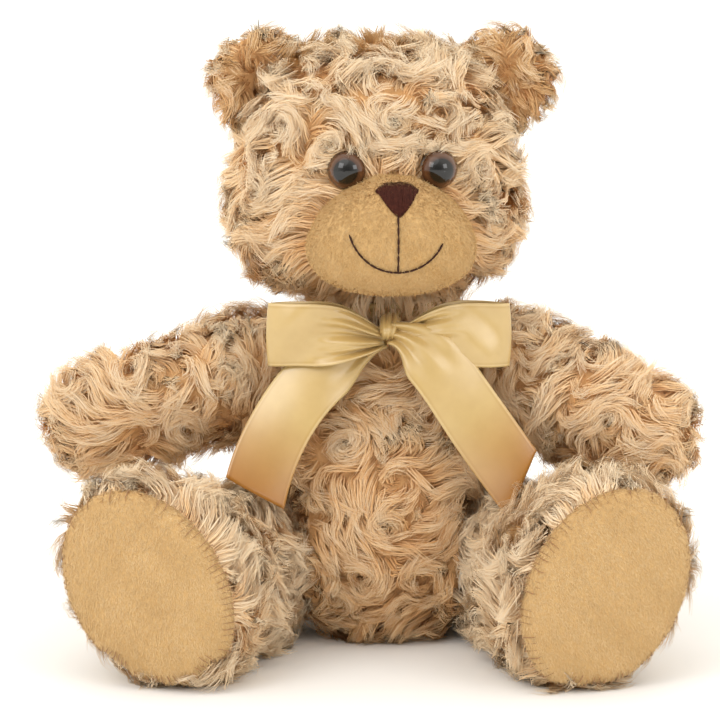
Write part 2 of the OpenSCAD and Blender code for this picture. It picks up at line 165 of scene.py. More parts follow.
def relaxed(verts, quads, rounds):
    """Evens a surface out."""
    edges = np.concatenate([quads[:, [k, (k + 1) % 4]] for k in range(4)])
    edges = np.unique(np.sort(edges, axis=1), axis=0)
    ends, others = np.concatenate([edges[:, 0], edges[:, 1]]), np.concatenate([edges[:, 1], edges[:, 0]])
    count = np.maximum(np.bincount(ends, minlength=len(verts)), 1)[:, None]
    for _ in range(rounds):
        total = np.stack([np.bincount(ends, verts[others, axis], len(verts)) for axis in range(3)], axis=1)
        verts = verts + 0.6 * (total / count - verts)
    return verts


def merged(names, voxel, rounds):
    """One smooth closed surface of quads around several CAD nodes."""
    verts, faces, _ = cad(*names)
    work = new_piece("work", verts, faces, [], None)
    remesh = work.modifiers.new("Remesh", "REMESH")
    remesh.mode, remesh.voxel_size = "VOXEL", voxel
    shaped = work.evaluated_get(bpy.context.evaluated_depsgraph_get()).to_mesh()
    out = np.empty(len(shaped.vertices) * 3)
    shaped.vertices.foreach_get("co", out)
    quads = np.empty(len(shaped.loops), dtype=np.int32)
    shaped.loops.foreach_get("vertex_index", quads)
    bpy.data.objects.remove(work)
    out, quads = out.reshape(-1, 3), quads.reshape(-1, 4)
    return relaxed(out, quads, rounds), quads


def panel_of(names, verts, quads):
    """Which of some CAD nodes each face lies closest to."""
    skins, faces, part = cad(*names)
    _, hit, _ = nearest(tree(skins, faces), verts[quads].mean(axis=1))
    return part[hit]


def box_of(node):
    """The lowest and highest corners of a CAD node's box."""
    return np.array(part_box(node))


def box_mid(node):
    low, high = box_of(node)
    return (low + high) / 2


# ---------------------------------------------------------------- materials


def node_material(name, **inputs):
    material = bpy.data.materials.new(name)
    material.use_nodes = True
    shader = material.node_tree.nodes["Principled BSDF"]
    for key, value in inputs.items():
        shader.inputs[key.replace("_", " ")].default_value = value
    return material, material.node_tree, shader


def add_node(graph, kind, links=(), **settings):
    """A node with its settings, and its inputs linked or set by name."""
    made = graph.nodes.new(kind)
    for key, value in settings.items():
        setattr(made, key, value)
    for key, value in dict(links).items():
        if isinstance(value, bpy.types.NodeSocket):
            graph.links.new(value, made.inputs[key])
        else:
            made.inputs[key].default_value = value
    return made


def noise(graph, scale, detail=3.0, rough=0.5):
    links = {"Scale": scale, "Detail": detail, "Roughness": rough}
    links["Vector"] = add_node(graph, "ShaderNodeTexCoord").outputs["Object"]
    return add_node(graph, "ShaderNodeTexNoise", links).outputs["Fac"]


def ramp(graph, factor, stops):
    made = add_node(graph, "ShaderNodeValToRGB", {"Fac": factor})
    points = made.color_ramp.elements
    while len(points) < len(stops):
        points.new(0.5)
    for point, (place, colour) in zip(points, stops):
        point.position, point.color = place, (*colour, 1)
    return made.outputs["Color"]


def bump(graph, shader, height, strength, depth):
    made = add_node(graph, "ShaderNodeBump", {"Height": height, "Strength": strength, "Distance": depth})
    graph.links.new(made.outputs["Normal"], shader.inputs["Normal"])


def multiplied(graph, first, second):
    """The product of two colours."""
    links = {"Factor": 1.0, 6: first, 7: second}
    return add_node(graph, "ShaderNodeMix", links, data_type="RGBA", blend_type="MULTIPLY").outputs[2]


def cloth(name, stops, scale, rough, sheen=0.3, depth=0.2 * MM, grain=2500.0, specular=0.3):
    """A mottled fabric with a fine grain."""
    material, graph, shader = node_material(
        name, Roughness=rough, Specular_IOR_Level=specular, Sheen_Weight=sheen, Sheen_Roughness=0.5
    )
    graph.links.new(ramp(graph, noise(graph, scale, 5.0, 0.6), stops), shader.inputs["Base Color"])
    bump(graph, shader, noise(graph, grain, 2.0), 0.6, depth)
    return material


SHADES = 10
FAMILIES = 2                  # each pile has this many sets of shades, the second one redder


def pile_shades(name, root, mid, tip):
    """Plain shades of one pile, from its darker roots to its paler tips; the darker roots are partly a painted
    shade deep in the pile.
    """
    root, mid, tip = (np.array(colour) for colour in (root, mid, tip))
    made = []
    for family in range(FAMILIES):
        hue = np.array((1.0, 1.0 - 0.06 * family, 1.0 - 0.16 * family))
        for k in range(SHADES):
            t = 2 * k / (SHADES - 1)
            colour = root + (mid - root) * t if t < 1 else mid + (tip - mid) * (t - 1)
            shade, _, shader = node_material(
                f"{name}_{family}_{k:02d}", Roughness=0.9, Specular_IOR_Level=0.03
            )
            shader.inputs["Base Color"].default_value = (*np.clip(colour * hue, 0, 1), 1)
            made.append(shade)
    return made


curl_shades = pile_shades("curly_pile", (0.78, 0.46, 0.215), (0.87, 0.63, 0.38), (0.86, 0.71, 0.52))
ear_shades = pile_shades("ear_pile", (0.52, 0.25, 0.10), (0.74, 0.48, 0.24), (0.90, 0.73, 0.51))
nap_shades = pile_shades("short_nap", (0.48, 0.285, 0.105), (0.60, 0.40, 0.19), (0.74, 0.535, 0.29))
backing = cloth("backing_cloth", [(0.3, (0.62, 0.33, 0.13)), (0.7, (0.76, 0.46, 0.21))], 220.0, 0.9)
wadding = cloth(
    "wadding", [(0.35, (0.72, 0.72, 0.70)), (0.65, (0.88, 0.88, 0.86))], 180.0, 0.95, depth=1.0 * MM,
)

# ---------------------------------------------------------------- curly pile

BACKING_DEPTH = 3.4 * MM      # from the CAD surface, which is halfway up the pressed pile
WADDING_DEPTH = 5.4 * MM
DISC_COVER = 0.5 * MM         # the depth of the cloth where it lies on a joint's disc
FLOOR_CLEAR = 0.4 * MM
SOLE_RIM = 3.2 * MM           # the sole reaches this far round the edge of its CAD solid
SOLE_LOW = {"leg_left": 4 * MM, "leg_right": 14 * MM}     # but not below this height
STEPS = 5                     # points along a strand
TUFT_GAP = 2.95 * MM
PER_TUFT = 18                 # long strands in a tuft
UNDER_TUFT = 8                # short strands under it
SHORT_STEPS = [0, 1, 3]       # the points of a long strand that a short one follows
MOST_STRANDS = 18000          # in one piece
DETAIL = 1.0
PRESSED_LIFT = 4.0 * MM       # how high the pile stands where another body presses on it
BAND_LIFT = 3.0 * MM          # how much higher it stands beside the ribbon round the neck
SHELL = 0.8 * MM              # the thickness of the backing cloth
EAR_SHELL = 0.5 * MM
EAR_DEPTH = 1.2 * MM          # of the ears' cloth below their CAD surface
BODY_VOXEL, EAR_VOXEL = 1.7 * MM, 1.2 * MM
WHORL_GAP = 17.5 * MM
NAP_PER_AREA = 4.5e6          # short strands on a square metre of the muzzle or a sole
NAP_LENGTH = 1.1 * MM
NAP_WIDTH = 0.24 * MM
NAP_LIFT = 0.40 * MM
SOLE_STITCHES = 84
EYE_RADIUS = 7.5 * MM


def surface_points(verts, quads, weight, count):
    """Random points on the faces, in proportion to area times weight, with the face of each."""
    tris = np.concatenate([quads[:, [0, 1, 2]], quads[:, [0, 2, 3]]])
    a, b, c = (verts[tris[:, k]] for k in range(3))
    area = np.linalg.norm(np.cross(b - a, c - a), axis=1) * np.tile(weight, 2)
    pick = rng.choice(len(tris), size=count, p=area / area.sum())
    u, v = rng.random((2, count, 1))
    fold = u + v > 1
    u, v = np.where(fold, 1 - u, u), np.where(fold, 1 - v, v)
    return a[pick] + u * (b - a)[pick] + v * (c - a)[pick], pick % len(quads)


def quad_area(verts, quads):
    return 0.5 * np.linalg.norm(quad_normals(verts, quads), axis=1)


def spread(points, gap):
    """The indices of points that are all at least gap apart, taking the first ones first."""
    cells, chosen = {}, []
    keys = np.floor(points / gap).astype(int)
    around = [(x, y, z) for x in (-1, 0, 1) for y in (-1, 0, 1) for z in (-1, 0, 1)]
    for i, (a, b, c) in enumerate(map(tuple, keys)):
        near = [j for x, y, z in around for j in cells.get((a + x, b + y, c + z), ())]
        if not near or ((points[near] - points[i]) ** 2).sum(axis=1).min() > gap * gap:
            cells.setdefault((a, b, c), []).append(i)
            chosen.append(i)
    return np.array(chosen)


class Pile:
    """The lie of the pile over one body: whorls, with a general direction between them."""

    def __init__(self, verts, quads, comb):
        self.normals = vertex_normals(verts, quads)
        self.quads, self.comb = quads, comb
        self.bvh = tree(verts, quads)
        points, _ = surface_points(verts, quads, np.ones(len(quads)), 4000)
        self.whorls = points[spread(points, WHORL_GAP)]
        count = len(self.whorls)
        self.spin = rng.choice([-1.0, 1.0], count)
        self.slant = np.radians(rng.uniform(-40, 20, count))
        self.reach = rng.uniform(6.5, 10.5, count) * MM

    def on_surface(self, points):
        places, faces, _ = nearest(self.bvh, points)
        return places, unit(self.normals[self.quads[faces]].mean(axis=1))

    def lie(self, points, normals):
        """The pile's direction at each point, and how far inside a whorl it is, from 0 to 1."""
        from_whorl = points[:, None] - self.whorls[None]
        from_whorl -= (from_whorl * normals[:, None]).sum(-1, keepdims=True) * normals[:, None]
        distance = np.linalg.norm(from_whorl, axis=-1)
        weight = np.exp(-((distance / self.reach) ** 2))
        radial = from_whorl / np.maximum(distance[..., None], 1e-9)
        around = np.cross(np.broadcast_to(normals[:, None], radial.shape), radial) * self.spin[None, :, None]
        turn = np.cos(self.slant)[None, :, None] * around + np.sin(self.slant)[None, :, None] * radial
        flow = (weight[..., None] * turn).sum(axis=1) + self.comb(points)
        flow -= (flow * normals).sum(-1, keepdims=True) * normals
        return unit(flow), weight.max(axis=1)


def tufts(pile, roots, normals, length, lift, inward):
    """The path of one tuft from each root: along the lie of the pile, rising and curling as it goes."""
    n = len(roots)
    path, out, side = (np.empty((n, STEPS, 3)) for _ in range(3))
    place, normal = roots, normals
    heading, bend = rng.normal(0, 0.2, n), rng.normal(0, 0.55, n)
    for k in range(STEPS):
        t = k / (STEPS - 1)
        along, _ = pile.lie(place, normal)
        turn = (heading + bend * t)[:, None]
        along = np.cos(turn) * along + np.sin(turn) * np.cross(normal, along)
        height = 0.2 * MM + lift * (1 - (1 - t) ** 1.8) - inward * smooth((t - 0.6) / 0.4)
        path[:, k] = place + normal * height[:, None]
        out[:, k], side[:, k] = normal, np.cross(normal, along)
        if k < STEPS - 1:
            place, normal = pile.on_surface(place + along * (length / (STEPS - 1))[:, None])
    return path, out, side


def strands(path, out, side, tone, per_tuft, radius, clump, width, rise, stray_share=0.12):
    """Flat tapered strands in each tuft: vertices, quads, a shade for every quad and shading normals."""
    of = np.repeat(np.arange(len(path)), per_tuft)
    n, t = len(of), np.linspace(0, 1, path.shape[1])
    angle, reach = rng.uniform(0, 2 * math.pi, n), radius * np.sqrt(rng.random(n))
    a, b = reach * np.cos(angle), reach * np.sin(angle)
    gather = 1 - (clump * rng.uniform(0.4, 1.2, n))[:, None] * smooth(t / 0.85)[None]
    loose = np.where(rng.random((n, 1)) < stray_share, 2.6, 0.8)
    stray = rng.normal(0, 0.5 * MM, (n, 2)) * loose
    centre, normal, across = path[of], out[of], side[of]
    along = np.cross(across, normal)
    centre = centre[:, :1] + (centre - centre[:, :1]) * rng.uniform(0.7, 1.08, n)[:, None, None]
    points = centre + across * (a[:, None] * gather + stray[:, :1] * t**2)[..., None]
    points += along * (b[:, None] * gather)[..., None]
    crown = 0.45 * clump * (radius - reach)[:, None]
    points += normal * (crown * t * (1 - 0.5 * t) + stray[:, 1:] * t**2)[..., None]
    roll = np.clip(rng.normal(0, 0.3, n), -0.7, 0.7)[:, None, None]
    ribbon = np.cos(roll) * across + np.sin(roll) * normal
    facing = np.cos(roll) * normal - np.sin(roll) * across
    half = (width * rng.uniform(0.7, 1.3, n))[:, None] * 0.5 * (1 - 0.8 * t**2)[None]
    verts = np.stack([points - ribbon * half[..., None], points + ribbon * half[..., None]], axis=2)
    verts[..., 2] = np.maximum(verts[..., 2], FLOOR_CLEAR)
    tangent = unit(np.gradient(points, axis=1))
    soft = unit(normal - (normal * tangent).sum(-1, keepdims=True) * tangent + 0.5 * facing)
    normals = unit(np.stack([soft - 0.25 * ribbon, soft + 0.25 * ribbon], axis=2))
    steps = len(t)
    first = (np.arange(n) * steps * 2)[:, None] + np.arange(steps - 1)[None] * 2
    quads = np.stack([first, first + 2, first + 3, first + 1], axis=-1)
    # Each strand darkens toward its root, partly a painted shade deep in the pile
    shade = (tone[of] + rng.normal(0, 0.07, n))[:, None] + rise * smooth(t[:-1] / 0.75)[None]
    index = np.clip(shade * SHADES, 0, SHADES - 1).astype(int)
    index += SHADES * (rng.random(n) < 0.3)[:, None]
    return verts.reshape(-1, 3), quads.reshape(-1, 4), index.ravel(), normals.reshape(-1, 3)


def pile_pieces(name, path, out, side, tone, shades, parent, slot, per_tuft, **shape):
    """The strands of many tufts, in as many pieces as keep each one a fair size."""
    share = max(1, math.ceil(len(path) * per_tuft / MOST_STRANDS))
    for k, part in enumerate(np.array_split(np.arange(len(path)), share)):
        v, q, index, normals = strands(path[part], out[part], side[part], tone[part], per_tuft, **shape)
        title = f"{name}_{k + 1}" if share > 1 else name
        piece = new_piece(title, v, q, shades, None, index=index, normals=normals, parent=parent)


body_nodes = {name: list(nodes) for name, nodes in frame["record"]["behaviour"]["bodies"].items()}
PANELS = {
    "torso": ["torso_panel_left", "torso_panel_right"],
    "head": ["head_side_left", "head_side_right", "head_gusset"],
    **{f"arm_{s}": [f"arm_outer_{s}", f"arm_inner_{s}"] for s in SIDES},
    **{f"leg_{s}": [f"leg_outer_{s}", f"leg_inner_{s}"] for s in SIDES},
}
SOLID_SKINS = {n for names in PANELS.values() for n in names} | {f"foot_pad_{s}" for s in SIDES}


def gap_to(*names):
    """A function that gives how far points are from some CAD nodes."""
    bvh = tree(*cad(*names)[:2])
    return lambda points: nearest(bvh, points)[2]


def near_others(body):
    """A function that says how closely a point is pressed by another body, from 0 to 1."""
    names = [n for other, nodes in body_nodes.items() if other != body for n in nodes if n in SOLID_SKINS]
    gap = gap_to(*names)
    return lambda points: 1 - smooth((gap(points) - 0.9 * MM) / (3.5 * MM))


def steady(direction, strength):
    return lambda p: np.broadcast_to(unit(np.array(direction, dtype=float)) * strength, p.shape)


def away_from(node, within, strength):
    """A direction away from a CAD node's middle, for points that are close to its surface."""
    gap, middle = gap_to(node), box_mid(node)
    return lambda p: unit(p - middle) * (strength * np.exp(-((gap(p) / within) ** 2)))[:, None]


def together(*parts):
    return lambda p: sum(part(p) for part in parts)


band_gap = gap_to("ribbon_band")
sole_gap = gap_to("foot_pad_left", "foot_pad_right")


def over_band(p):
    """Up over the ribbon round the neck, so that the pile hides most of it."""
    return np.array((0, -0.2, 1.0)) * (3.0 * np.exp(-((band_gap(p) / (9 * MM)) ** 2)))[:, None]


def comb_for(body):
    """The general direction of the pile on a body."""
    if body == "head":
        eyes = [away_from(f"eye_lens_{s}", 5 * MM, 2.0) for s in SIDES]
        return together(steady((0, 0.2, -1), 0.15), away_from("muzzle", 7 * MM, 2.2), *eyes)
    if body == "torso":
        return together(steady((0, -0.1, -1), 0.16), over_band)
    kind, _, side = body.partition("_")
    if kind == "leg":
        way = box_mid(f"hip_stem_disc_{side}") - box_mid(f"foot_pad_{side}")
        back = away_from(f"foot_pad_{side}", 7 * MM, 2.4)
        low = lambda p: np.clip((p[:, 2:] - 8 * MM) / (12 * MM), -0.7, 1)
        return together(steady(way, 0.14), lambda p: low(p) * back(p))
    return steady(box_mid(f"arm_outer_{side}") - box_mid(f"shoulder_stem_disc_{side}"), 0.16)


def grow(
    verts, quads, owner, panels, shades, parents, keep, comb, pressed, length, lift, tone, skip=None, top_light=0.3
):
    """Grows the pile on a surface, with its own pieces for each panel."""
    pile = Pile(verts, quads, comb)
    count = int(3.2 * quad_area(verts, quads)[keep].sum() / TUFT_GAP**2)
    points, faces = surface_points(verts, quads, keep.astype(float), count)
    chosen = spread(points, TUFT_GAP)
    roots, faces = points[chosen], faces[chosen]
    normals = unit(pile.normals[quads[faces]].mean(axis=1))
    if skip is not None:
        stay = ~skip(roots)
        roots, faces, normals = roots[stay], faces[stay], normals[stay]
    _, inside = pile.lie(roots, normals)
    n = len(roots)
    flat = pressed(roots + normals * BACKING_DEPTH)
    lengths = length * rng.uniform(0.8, 1.2, n)
    rise = lift * rng.uniform(0.72, 1.2, n) * (0.84 + 0.32 * np.sin(math.pi * inside))
    rise = rise + (PRESSED_LIFT - rise) * flat
    rise += BAND_LIFT * np.exp(-((band_gap(roots) / (8 * MM)) ** 2))
    rise *= 1 - 0.45 * np.exp(-((sole_gap(roots) / (5 * MM)) ** 2))
    curl = rng.uniform(0, 2.2, n) * MM * (1 - flat)
    path, out, side = tufts(pile, roots, normals, lengths, rise, curl)
    # Paler up high, a painted light from above; paler in a whorl and darker between whorls and at a whorl's
    # very middle, a painted shade in the hollows; darker where another body presses, a painted shade between
    # parts
    high = (roots[:, 2] - verts[:, 2].mean()) / np.ptp(verts[:, 2])
    tone_and_painted_light = tone + rng.normal(0, 0.06, n) + 0.14 * (inside - 0.6) - 0.06 * flat + top_light * high
    tone_and_painted_light -= 0.4 * smooth((inside - 0.8) / 0.15)
    for k, panel in enumerate(panels):
        mine = owner[faces] == k
        long_ones = (path[mine], out[mine], side[mine], tone_and_painted_light[mine], shades, parents[k], "curly_plush")
        pile_pieces(
            f"pile_{panel}", *long_ones, max(5, int(PER_TUFT * DETAIL)),
            radius=2.3 * MM, clump=0.42, width=0.30 * MM, rise=0.5,
        )
        # The short strands are darker than the long ones over them, a painted shade beneath
        short_ones = (*(part[mine][:, SHORT_STEPS] for part in (path, out, side)), tone_and_painted_light[mine] - 0.06)
        pile_pieces(
            f"underpile_{panel}", *short_ones, shades, parents[k], "curly_plush", UNDER_TUFT,
            radius=2.9 * MM, clump=0.0, width=0.6 * MM, rise=0.3,
        )


def cloth_panel(node, verts, quads, keep, material, body, depth, thickness=SHELL):
    """One panel of cloth: some faces of a body's surface, at a depth below it."""
    lowered = verts - vertex_normals(verts, quads) * depth[:, None]
    used, index = np.unique(quads[keep], return_inverse=True)
    piece = new_piece(f"cloth_{node}", lowered[used], index.reshape(-1, 4), [material], body)
    solid = piece.modifiers.new("Thickness", "SOLIDIFY")
    solid.thickness, solid.offset = thickness, -1
    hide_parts(node)
    return piece


def short_nap(name, verts, quads, keep, lie, tone, parent):
    """Short straight pile over some faces."""
    normals = vertex_normals(verts, quads)
    count = int(NAP_PER_AREA * quad_area(verts, quads)[keep].sum() * DETAIL)
    roots, faces = surface_points(verts, quads, keep.astype(float), count)
    normal = unit(normals[quads[faces]].mean(axis=1))
    way = lie(roots) + rng.normal(0, 0.25, roots.shape)
    along = unit(way - (way * normal).sum(-1, keepdims=True) * normal)
    t = np.linspace(0, 1, 3)[None, :, None]
    rise = (NAP_LIFT * rng.uniform(0.6, 1.3, count))[:, None, None]
    path = roots[:, None] + along[:, None] * t * NAP_LENGTH + normal[:, None] * rise * np.sqrt(t)
    out, side = (np.repeat(x[:, None], 3, axis=1) for x in (normal, np.cross(normal, along)))
    pile_pieces(
        name, path, out, side, tone(roots), nap_shades, parent, "smooth_plush", 1,
        radius=0.1 * MM, clump=0.0, width=NAP_WIDTH, rise=0.12, stray_share=0.0,
    )


def blotches(points, size):
    """A smooth uneven field between about -1 and 1."""
    p = points / size
    first, second = np.sin(p @ (1.3, 0.7, 2.1)), np.sin(p @ (-1.1, 2.3, 0.9) + 2)
    return (first + second + np.sin(p @ (2.0, -0.8, 1.4) + 4)) / 3


def averaged(values, quads, rounds):
    return relaxed(np.repeat(values[:, None], 3, axis=1), quads, rounds)[:, 0]


def short_of(verts, quads, keep, *names):
    """How far out of a merged surface the CAD's own surface lies, where the merging has rounded it off."""
    bvh, normals, out = tree(*cad(*names)[:2]), vertex_normals(verts, quads), np.zeros(len(verts))
    for i in np.unique(quads[keep]):
        _, _, _, distance = bvh.ray_cast(Vector(verts[i]), Vector(normals[i]), 7 * MM)
        out[i] = distance or 0
    return averaged(out, quads, 4) + 0.5 * MM


def smooth_panel(node, body, verts, quads, keep, lie, tone, stand, sink):
    """A panel of short nap, such as the muzzle or a sole, whose edge is sewn down into the pile."""
    normals = vertex_normals(verts, quads)
    edge = tree(verts, quads[~keep])
    _, _, gap = nearest(edge, verts)
    inside = np.zeros(len(verts), dtype=bool)
    inside[quads[keep].ravel()] = True
    gap = np.where(inside, gap, 0)
    depth = averaged(-stand + (sink + stand) * (1 - smooth(gap / (2.4 * MM))), quads, 6)
    piece = cloth_panel(node, verts, quads, keep, velboa, body, depth)
    lowered = verts - normals * depth[:, None]
    short_nap(f"nap_{node}", lowered, quads, keep, lie, tone, piece)
    return lowered


def plush_body(body):
    """The wadding, backing panels and pile of one body. Gives back its surface and its panels' faces."""
    panels = PANELS[body]
    kind, _, side = body.partition("_")
    stuffing = f"{kind}_stuffing_{side}" if side else f"{kind}_stuffing"
    smooth_nodes = {"head": ["muzzle"], "leg": [f"foot_pad_{side}"]}.get(kind, [])
    closed = panels + smooth_nodes
    verts, quads = merged(closed + [stuffing], BODY_VOXEL, 24)
    owner = panel_of(closed, verts, quads)
    if kind == "leg":
        middles = verts[quads].mean(axis=1)
        sole = (gap_to(*smooth_nodes)(middles) < SOLE_RIM) & (middles[:, 2] > SOLE_LOW[body])
        owner[sole] = len(panels)
    normals = vertex_normals(verts, quads)
    disc_gap = gap_to(*[n for n in body_nodes[body] if "disc" in n])(verts)
    near_disc = 1 - smooth((disc_gap - 2.4 * MM) / (3 * MM))
    depth = BACKING_DEPTH + (DISC_COVER - BACKING_DEPTH) * near_disc
    core = new_piece(
        f"wadding_{body}", verts - normals * (depth + WADDING_DEPTH - BACKING_DEPTH)[:, None], quads,
        [wadding], body,
    )
    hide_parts(stuffing)
    covers = [
        cloth_panel(panel, verts, quads, owner == k, backing, body, depth)
        for k, panel in enumerate(panels)
    ]
    bare = near_disc[quads].mean(axis=1) > 0.85
    grow(
        verts - normals * depth[:, None], quads, owner, panels, curl_shades, covers,
        (owner < len(panels)) & ~bare, comb_for(body), near_others(body), length=14 * MM, lift=LIFT[kind],
        tone=TONE[kind], skip=SKIP.get(body), top_light=PAINTED_TOP_LIGHT[kind],
    )
    return verts, quads, owner, len(panels)


# For each kind of body: how high its pile stands, its tone, and how much paler it is at the top as a painted
# light from above. The tones are partly painted light: the head paler and the torso darker as light from above
# falls, and the legs paler to lift the shade on them
LIFT = {"head": 8.4 * MM, "torso": 7.4 * MM, "arm": 7.6 * MM, "leg": 8.8 * MM}
TONE = {"head": 0.40, "torso": 0.18, "arm": 0.32, "leg": 0.62}
PAINTED_TOP_LIGHT = {"head": 0.5, "torso": 0.3, "arm": 0.3, "leg": 0.15}
eye_middles = [box_mid(f"eye_lens_{s}") for s in SIDES]
SKIP = {
    "head": lambda p: np.min([np.linalg.norm(p - e, axis=1) for e in eye_middles], axis=0) < 8.6 * MM,
    "torso": lambda p: (np.abs(p[:, 0]) < 0.7 * MM) & (p[:, 1] < 0),
}
velboa = cloth(
    "short_nap_cloth", [(0.3, (0.54, 0.33, 0.13)), (0.7, (0.63, 0.405, 0.175))], 900.0, 0.8, sheen=0.1,
    depth=0.3 * MM, grain=1800.0,
)
surfaces = {body: plush_body(body) for body in PANELS}


def threads(name, paths, radius, material, body):
    """Round threads along several paths, closed at both ends, as one piece."""
    verts, faces, start, sides = [], [], 0, 6
    for path in paths:
        path = np.asarray(path)
        n = len(path)
        along = unit(np.gradient(path, axis=0))
        side = unit(np.cross(along, np.array((0.31, 0.2, 0.93))))
        other = np.cross(along, side)
        ends = np.minimum(np.arange(n), np.arange(n)[::-1])
        girth = radius * np.where(ends == 0, 0.35, 1.0)
        for i in range(n):
            for k in range(sides):
                a = 2 * math.pi * k / sides
                verts.append(path[i] + girth[i] * (math.cos(a) * side[i] + math.sin(a) * other[i]))
        for i in range(n - 1):
            for k in range(sides):
                m = (k + 1) % sides
                faces.append([start + i * sides + k, start + i * sides + m,
                              start + (i + 1) * sides + m, start + (i + 1) * sides + k])
        last = start + (n - 1) * sides
        for base, caps in ((start, ((5, 4, 3, 2), (5, 2, 1, 0))), (last, ((0, 1, 2, 3), (0, 3, 4, 5)))):
            faces += [[base + k for k in cap] for cap in caps]
        start += n * sides
    piece = new_piece(name, verts, faces, [material], body)
    return piece


# ---------------------------------------------------------------- muzzle, soles and ears

muzzle_mid = box_mid("muzzle")
FACE_TURN = math.atan2(muzzle_mid[0], -muzzle_mid[1])   # the head looks a little to its left
FACE_RIGHT = np.array((math.cos(FACE_TURN), math.sin(FACE_TURN), 0))
FACE_OUT = np.array((math.sin(FACE_TURN), -math.cos(FACE_TURN), 0))


def face_surface():
    """The muzzle's panel, and its surface for what is sewn on it."""
    verts, quads, owner, panels = surfaces["head"]
    parting = muzzle_mid + np.array((0, 0, 0.008))
    lowered = smooth_panel(
        "muzzle", "head", verts, quads, owner == panels, lambda p: unit(p - parting) + np.array((0, 0, -0.5)),
        lambda p: 0.40 + 0.14 * blotches(p, 5 * MM), stand=0.3 * MM, sink=2.6 * MM,
    )
    return tree(lowered, quads[owner == panels])


def soles():
    for side in SIDES:
        verts, quads, owner, panels = surfaces[f"leg_{side}"]
        nodes = [f"{node}_{side}" for node in ("foot_pad", "leg_outer", "leg_inner")]
        stand = short_of(verts, quads, owner == panels, *nodes)
        lowered = smooth_panel(
            f"foot_pad_{side}", f"leg_{side}", verts, quads, owner == panels, steady((0.25, 0, -1), 1.0),
            lambda p: 0.72 + 0.14 * blotches(p, 8 * MM), stand, sink=0.9 * MM,
        )
        sole_stitches(side, lowered, quads, owner == panels)


def sole_stitches(side, verts, quads, keep):
    """Ladder stitches that close the seam round a sole."""
    thread = cloth(
        f"sole_thread_{side}", [(0.3, (0.30, 0.15, 0.06)), (0.7, (0.42, 0.23, 0.10))], 700.0, 0.7,
        specular=0.1,
    )
    edge = np.intersect1d(quads[keep], quads[~keep])
    normals = vertex_normals(verts, quads)
    surface = tree(verts, quads)
    middle, axis = verts[edge].mean(axis=0), unit(normals[np.unique(quads[keep])].mean(axis=0))
    right = unit(np.cross((0, 0, 1), axis))
    from_middle = verts[edge] - middle
    turn = np.arctan2(from_middle @ np.cross(axis, right), from_middle @ right)
    paths = []
    for angle in np.linspace(-math.pi, math.pi, SOLE_STITCHES, endpoint=False):
        place = np.array([np.interp(angle, *ring(turn, verts[edge][:, k])) for k in range(3)])
        inward = unit(middle + axis * 6 * MM - place)
        course = place + inward * np.linspace(2.2, 5.8, 6)[:, None] * MM
        on, faces, _ = nearest(surface, course)
        paths.append(on + unit(normals[quads[faces]].mean(axis=1)) * 0.95 * MM)
    threads(f"sole_stitching_{side}", paths, 0.21 * MM, thread, f"leg_{side}")


def ring(turn, values):
    """Angles in order with their values, for a closed ring."""
    order = np.argsort(turn)
    turn, values = turn[order], values[order]
    return np.concatenate([turn - 2 * math.pi, turn, turn + 2 * math.pi]), np.tile(values, 3)


def ears():
    """Each ear: a backing and a lining, with long pile outside and short dark pile in its bowl."""
    for side in SIDES:
        nodes = [f"ear_back_{side}", f"ear_lining_{side}"]
        verts, quads = merged(nodes, EAR_VOXEL, 10)
        owner = panel_of(nodes, verts, quads)
        depth = np.full(len(verts), EAR_DEPTH)
        covers = [
            cloth_panel(node, verts, quads, owner == k, backing, "head", depth, EAR_SHELL)
            for k, node in enumerate(nodes)
        ]
        inner = verts - vertex_normals(verts, quads) * depth[:, None]
        middle = box_mid(nodes[1])
        outward = lambda p: unit(p - middle) * 0.9 + np.array((0, 0, -0.5))
        none = lambda p: np.zeros(len(p))
        grow(
            inner, quads, owner, nodes[:1], curl_shades, covers, owner == 0, outward, none,
            length=10 * MM, lift=6.0 * MM, tone=0.34,
        )
        grow(
            inner, quads, owner - 1, nodes[1:], ear_shades, covers[1:], owner == 1, outward, none,
            length=9 * MM, lift=4.0 * MM, tone=0.30,
        )


face = face_surface()
soles()
ears()

# ---------------------------------------------------------------- nose, mouth and eyes


def on_face(across, up, proud):
    """A point on the muzzle, from its place on the plane of the face."""
    start = FACE_RIGHT * across + FACE_OUT * 0.2
    hit, _, _, _ = face.ray_cast(Vector((start[0], start[1], up)), Vector(-FACE_OUT))
    if hit is None:
        hit, _, _, _ = face.find_nearest(Vector((start[0], muzzle_mid[1], up)))
    return np.array(hit) + FACE_OUT * proud


def nose():
    """Satin stitches laid side by side down a rounded triangle, swelling out in the middle as if padded."""
    thread = cloth(
        "nose_thread", [(0.3, (0.036, 0.008, 0.005)), (0.7, (0.070, 0.017, 0.010))], 900.0, 0.7, sheen=0.0,
        specular=0.12,
    )
    low, high = box_of("nose")
    middle = box_mid("nose") @ FACE_RIGHT + 0.6 * MM
    half, top, tall = 8.4 * MM, high[2] - 0.6 * MM, high[2] - low[2] - 0.6 * MM
    count = 44
    paths = []
    for k in range(count):
        u = -1 + 2 * (k + 0.5) / count
        upper = top - 2.6 * MM * abs(u) ** 3.2
        lower = top - tall * (1 - abs(u) ** 1.25) ** 0.75 * 0.97 - 3.4 * MM * (1 - (1 - abs(u)) ** 0.3)
        lower = min(lower, upper - 1.2 * MM)
        wander = rng.normal(0, 0.12) * MM
        spine = []
        for t in np.linspace(0, 1, 9):
            swell = 1.5 * MM * math.sin(math.pi * min(max(t, 0.03), 0.97)) ** 0.5 * (1 - 0.75 * abs(u) ** 2.5)
            lean = u * half * (1 - 0.10 * t)
            across = middle + lean + wander * math.sin(3 * t)
            spine.append(on_face(across, upper + (lower - upper) * t, swell))
        paths.append(spine)
    piece = threads("nose_stitches", paths, 0.30 * MM, thread, "head")
    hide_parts("nose")


